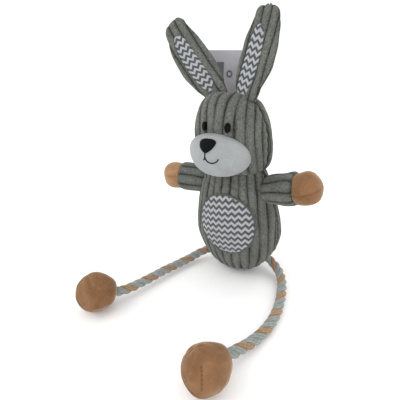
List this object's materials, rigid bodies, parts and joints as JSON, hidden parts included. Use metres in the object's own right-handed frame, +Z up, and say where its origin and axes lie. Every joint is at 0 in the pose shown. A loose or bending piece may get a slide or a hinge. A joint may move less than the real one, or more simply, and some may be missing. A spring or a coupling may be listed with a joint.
{
  "type": "stuffed rabbit toy",
  "caption": "Sitting plush rabbit with ribbed cover, zigzag belly and ear linings, stuffed paws and feet, and twisted rope legs.",
  "frame": {"origin": "middle of the flat seat, on the floor", "axes": "+Z up, the toy faces -Y and its left side is +X"},
  "size_m": [0.1631, 0.1786, 0.2307],
  "materials": {
    "corduroy_cover": "jumbo corduroy",
    "chevron_cotton": "printed zigzag",
    "muzzle_velour": "short pile",
    "tan_velour": "short pile",
    "black_satin_stitch": "satin stitch",
    "dark_thread": "thread",
    "polyester_stuffing": "loose fibre",
    "cotton_rope": "three-strand twist",
    "squeaker_plastic": "moulded",
    "tag_card": "coated card",
    "tag_loop_plastic": "clear thread"
  },
  "bodies": {
    "body": {"body_front_panel": "corduroy_cover", "body_back_panel": "corduroy_cover", "body_stuffing": "polyester_stuffing", "belly_patch": "chevron_cotton", "belly_patch_stitching": "dark_thread", "squeaker_shell": "squeaker_plastic", "squeaker_reed": "squeaker_plastic", "left_rope_root": "cotton_rope", "right_rope_root": "cotton_rope"},
    "head": {"head_front_panel": "corduroy_cover", "head_back_panel": "corduroy_cover", "head_stuffing": "polyester_stuffing", "muzzle_patch": "muzzle_velour", "muzzle_stuffing": "polyester_stuffing", "nose": "black_satin_stitch", "mouth_stitching": "dark_thread", "left_eye": "black_satin_stitch", "right_eye": "black_satin_stitch"},
    "left_ear": {"left_ear_front": "corduroy_cover", "left_ear_back": "corduroy_cover", "left_ear_lining": "chevron_cotton"},
    "right_ear": {"right_ear_front": "corduroy_cover", "right_ear_back": "corduroy_cover", "right_ear_lining": "chevron_cotton"},
    "left_arm": {"left_arm_sleeve": "corduroy_cover", "left_paw_cap": "tan_velour", "left_arm_stuffing": "polyester_stuffing"},
    "right_arm": {"right_arm_sleeve": "corduroy_cover", "right_paw_cap": "tan_velour", "right_arm_stuffing": "polyester_stuffing"},
    "left_leg_upper": {"left_rope_upper": "cotton_rope"},
    "left_leg_lower": {"left_rope_lower": "cotton_rope"},
    "left_foot": {"left_foot_panel_near": "tan_velour", "left_foot_panel_far": "tan_velour", "left_foot_stuffing": "polyester_stuffing", "left_rope_tail": "cotton_rope"},
    "right_leg_upper": {"right_rope_upper": "cotton_rope"},
    "right_leg_lower": {"right_rope_lower": "cotton_rope"},
    "right_foot": {"right_foot_panel_near": "tan_velour", "right_foot_panel_far": "tan_velour", "right_foot_stuffing": "polyester_stuffing", "right_rope_tail": "cotton_rope"},
    "tag": {"hang_tag": "tag_card", "tag_loop": "tag_loop_plastic"}
  },
  "joints": [
    {"name": "neck_nod", "type": "hinge", "parent": "body", "child": "head", "pos_m": [0, -0.015, 0.108], "axis": [1, 0, 0], "range_deg": [-10, 12], "stiffness_Nm_per_rad": 0.35},
    {"name": "left_ear_fold", "type": "hinge", "parent": "head", "child": "left_ear", "pos_m": [0.0155, -0.025, 0.1726], "axis": [0.9868, -0.148, -0.0649], "range_deg": [-8, 55], "stiffness_Nm_per_rad": 0.03},
    {"name": "right_ear_fold", "type": "hinge", "parent": "head", "child": "right_ear", "pos_m": [-0.0155, -0.025, 0.1726], "axis": [0.7935, 0.1984, 0.5753], "range_deg": [-8, 55], "stiffness_Nm_per_rad": 0.03},
    {"name": "left_arm_swing", "type": "hinge", "parent": "body", "child": "left_arm", "pos_m": [0.0396, -0.0156, 0.0936], "axis": [-0.1326, -0.9905, -0.0357], "range_deg": [-22, 22], "stiffness_Nm_per_rad": 0.08},
    {"name": "right_arm_swing", "type": "hinge", "parent": "body", "child": "right_arm", "pos_m": [-0.0396, -0.0162, 0.0904], "axis": [-0.1818, 0.9833, 0.0036], "range_deg": [-22, 22], "stiffness_Nm_per_rad": 0.08},
    {"name": "left_hip_swing", "type": "hinge", "parent": "body", "child": "left_leg_upper", "pos_m": [0.0386, 0.0026, 0.0076], "axis": [0, 0, 1], "range_deg": [-5, 25]},
    {"name": "left_knee_bend", "type": "hinge", "parent": "left_leg_upper", "child": "left_leg_lower", "pos_m": [0.0618, -0.054, 0.0043], "axis": [0, 0, 1], "range_deg": [-10, 25]},
    {"name": "left_ankle_turn", "type": "hinge", "parent": "left_leg_lower", "child": "left_foot", "pos_m": [0.0514, -0.1144, 0.0098], "axis": [0, 0, 1], "range_deg": [-12, 25]},
    {"name": "right_hip_swing", "type": "hinge", "parent": "body", "child": "right_leg_upper", "pos_m": [-0.0375, -0.0115, 0.0082], "axis": [0, 0, 1], "range_deg": [-25, 5]},
    {"name": "right_knee_bend", "type": "hinge", "parent": "right_leg_upper", "child": "right_leg_lower", "pos_m": [-0.0512, -0.064, 0.0043], "axis": [0, 0, 1], "range_deg": [-25, 10]},
    {"name": "right_ankle_turn", "type": "hinge", "parent": "right_leg_lower", "child": "right_foot", "pos_m": [-0.06, -0.1084, 0.0084], "axis": [0, 0, 1], "range_deg": [-25, 12]},
    {"name": "tag_swing", "type": "hinge", "parent": "head", "child": "tag", "pos_m": [-0.006, -0.007, 0.1662], "axis": [1, 0, 0], "range_deg": [-45, 0]}
  ]
}
